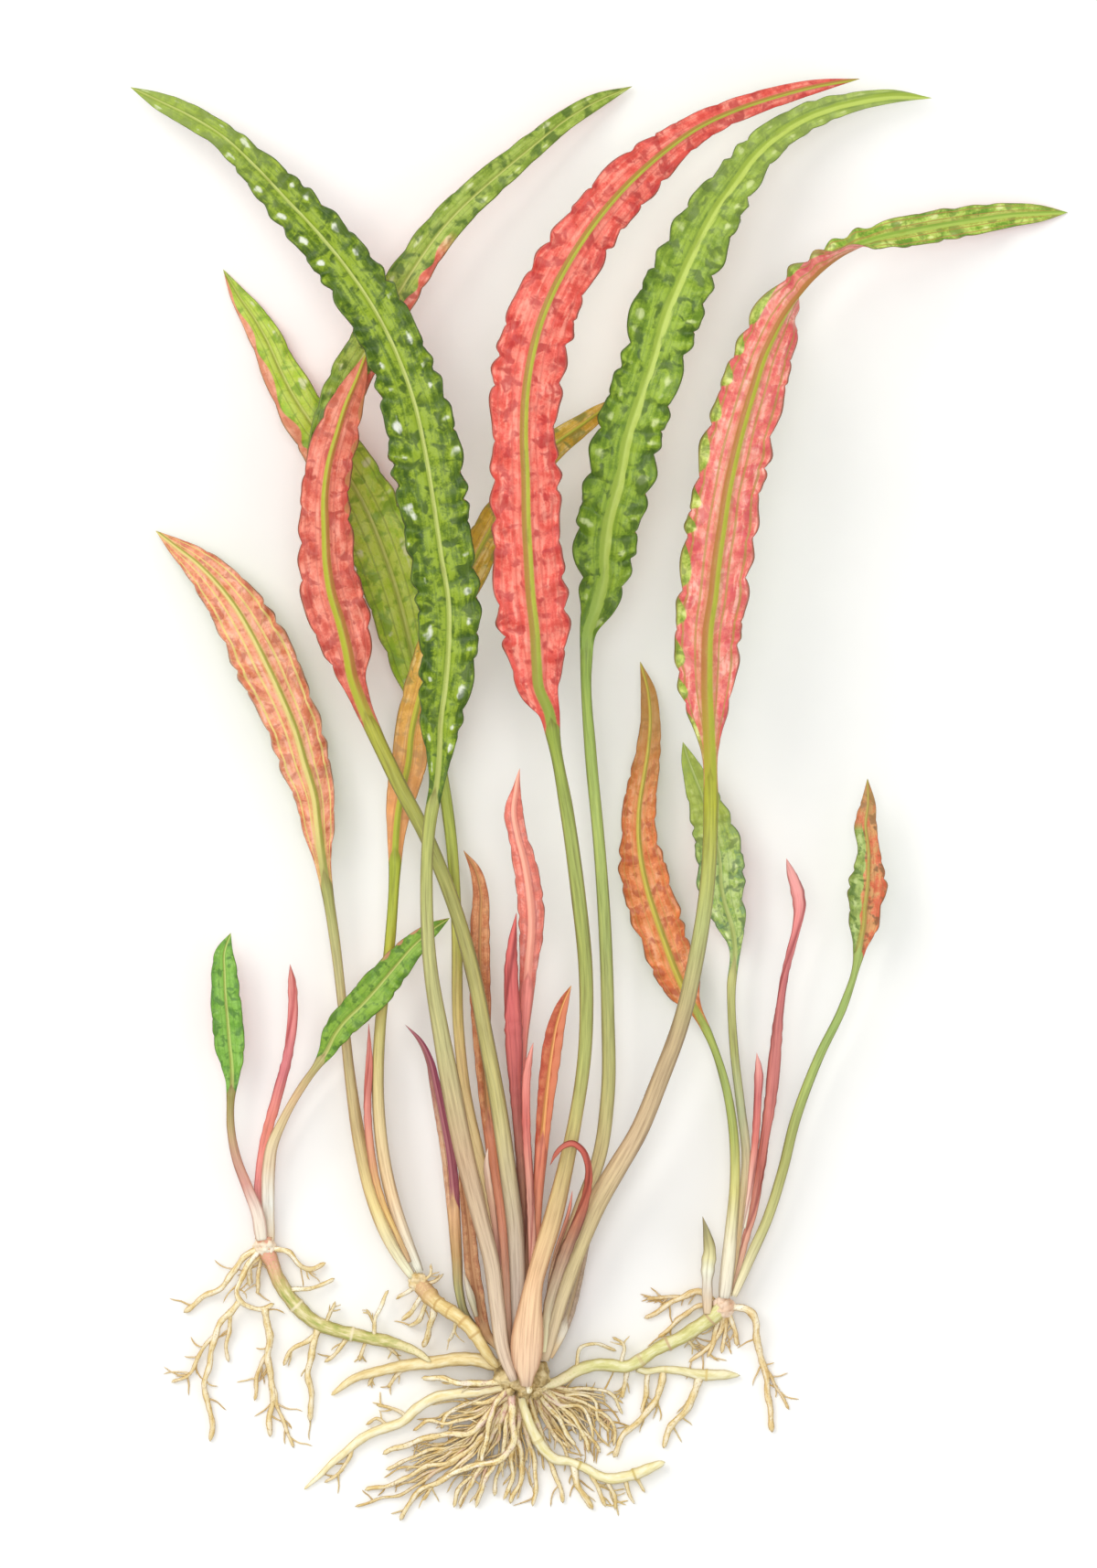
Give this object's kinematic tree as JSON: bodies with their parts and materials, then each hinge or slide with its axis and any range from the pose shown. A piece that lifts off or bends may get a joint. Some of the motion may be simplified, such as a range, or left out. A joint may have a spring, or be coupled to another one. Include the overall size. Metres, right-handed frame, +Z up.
{
  "type": "aquarium plant",
  "caption": "Bare-rooted water plant lying on its side, with long-stalked ribbon leaves, young leaves, roots and plantlets on runners.",
  "frame": {"origin": "middle of the plant's footprint, on the surface that it lies on", "axes": "+Y from the roots towards the leaf tips, +X to the right as the plant is pictured, +Z up from the surface towards the viewer"},
  "size_m": [0.413, 0.635, 0.0887],
  "materials": {
    "mature_green_leaf": "upper side of a mature blade, bumpy, satin",
    "pale_green_leaf": "thinner, paler blade, satin",
    "red_leaf_underside": "underside of a mature blade, red with a green midrib, satin",
    "pink_leaf_underside": "underside of a mature blade, pink with an olive midrib, satin",
    "salmon_leaf": "underside, salmon with yellow veins",
    "ochre_leaf": "ageing blade, ochre yellow",
    "young_pink_leaf": "half rolled young leaf, moist",
    "young_crimson_leaf": "rolled young leaf, moist",
    "young_orange_leaf": "young brownish orange leaf, moist",
    "purple_leaf": "dark purple young leaf, moist",
    "old_sheath": "thin papery old leaf base",
    "plantlet_green_leaf": "fresh green blade of a young plant",
    "plantlet_red_leaf": "rolled red young leaf",
    "plantlet_orange_leaf": "orange underside with a yellow-green midrib",
    "plantlet_bumpy_leaf": "coarsely bumpy bluish green blade",
    "plantlet_two_tone_leaf": "half green, half orange-brown blade",
    "plantlet_shoot": "pale pointed shoot",
    "rhizome": "lumpy rootstock with cream roots, matt",
    "runner": "smooth pale green creeping stem",
    "root": "cream coloured thick root, matt"
  },
  "bodies": {
    "root": {"front_green_leaf": "mature_green_leaf", "right_green_leaf": "mature_green_leaf", "back_green_leaf": "pale_green_leaf", "left_green_leaf": "pale_green_leaf", "left_red_leaf": "red_leaf_underside", "centre_red_leaf": "red_leaf_underside", "right_pink_leaf": "pink_leaf_underside", "salmon_leaf": "salmon_leaf", "ochre_leaf": "ochre_leaf", "young_pink_leaf": "young_pink_leaf", "small_pink_spear": "young_pink_leaf", "small_salmon_spear": "young_pink_leaf", "offset_red_spear": "young_pink_leaf", "young_crimson_leaf": "young_crimson_leaf", "hooked_leaf": "young_crimson_leaf", "small_red_spear": "young_crimson_leaf", "young_orange_leaf": "young_orange_leaf", "young_brown_leaf": "young_orange_leaf", "purple_leaf": "purple_leaf", "left_sheath": "old_sheath", "right_sheath": "old_sheath", "pale_scale": "old_sheath", "left_plantlet_green_leaf": "plantlet_green_leaf", "left_plantlet_leaning_leaf": "plantlet_green_leaf", "left_plantlet_red_leaf": "plantlet_red_leaf", "right_plantlet_red_leaf": "plantlet_red_leaf", "right_plantlet_red_spear": "plantlet_red_leaf", "right_plantlet_orange_leaf": "plantlet_orange_leaf", "right_plantlet_bumpy_leaf": "plantlet_bumpy_leaf", "right_plantlet_two_tone_leaf": "plantlet_two_tone_leaf", "right_plantlet_shoot": "plantlet_shoot", "main_rhizome": "rhizome", "offset_rhizome": "rhizome", "left_plantlet_rhizome": "rhizome", "right_plantlet_rhizome": "rhizome", "left_runner": "runner", "right_runner": "runner", "right_runner_tip": "runner", "lower_runner": "runner", "thick_left_root": "root", "long_pale_root": "root"}
  },
  "joints": []
}
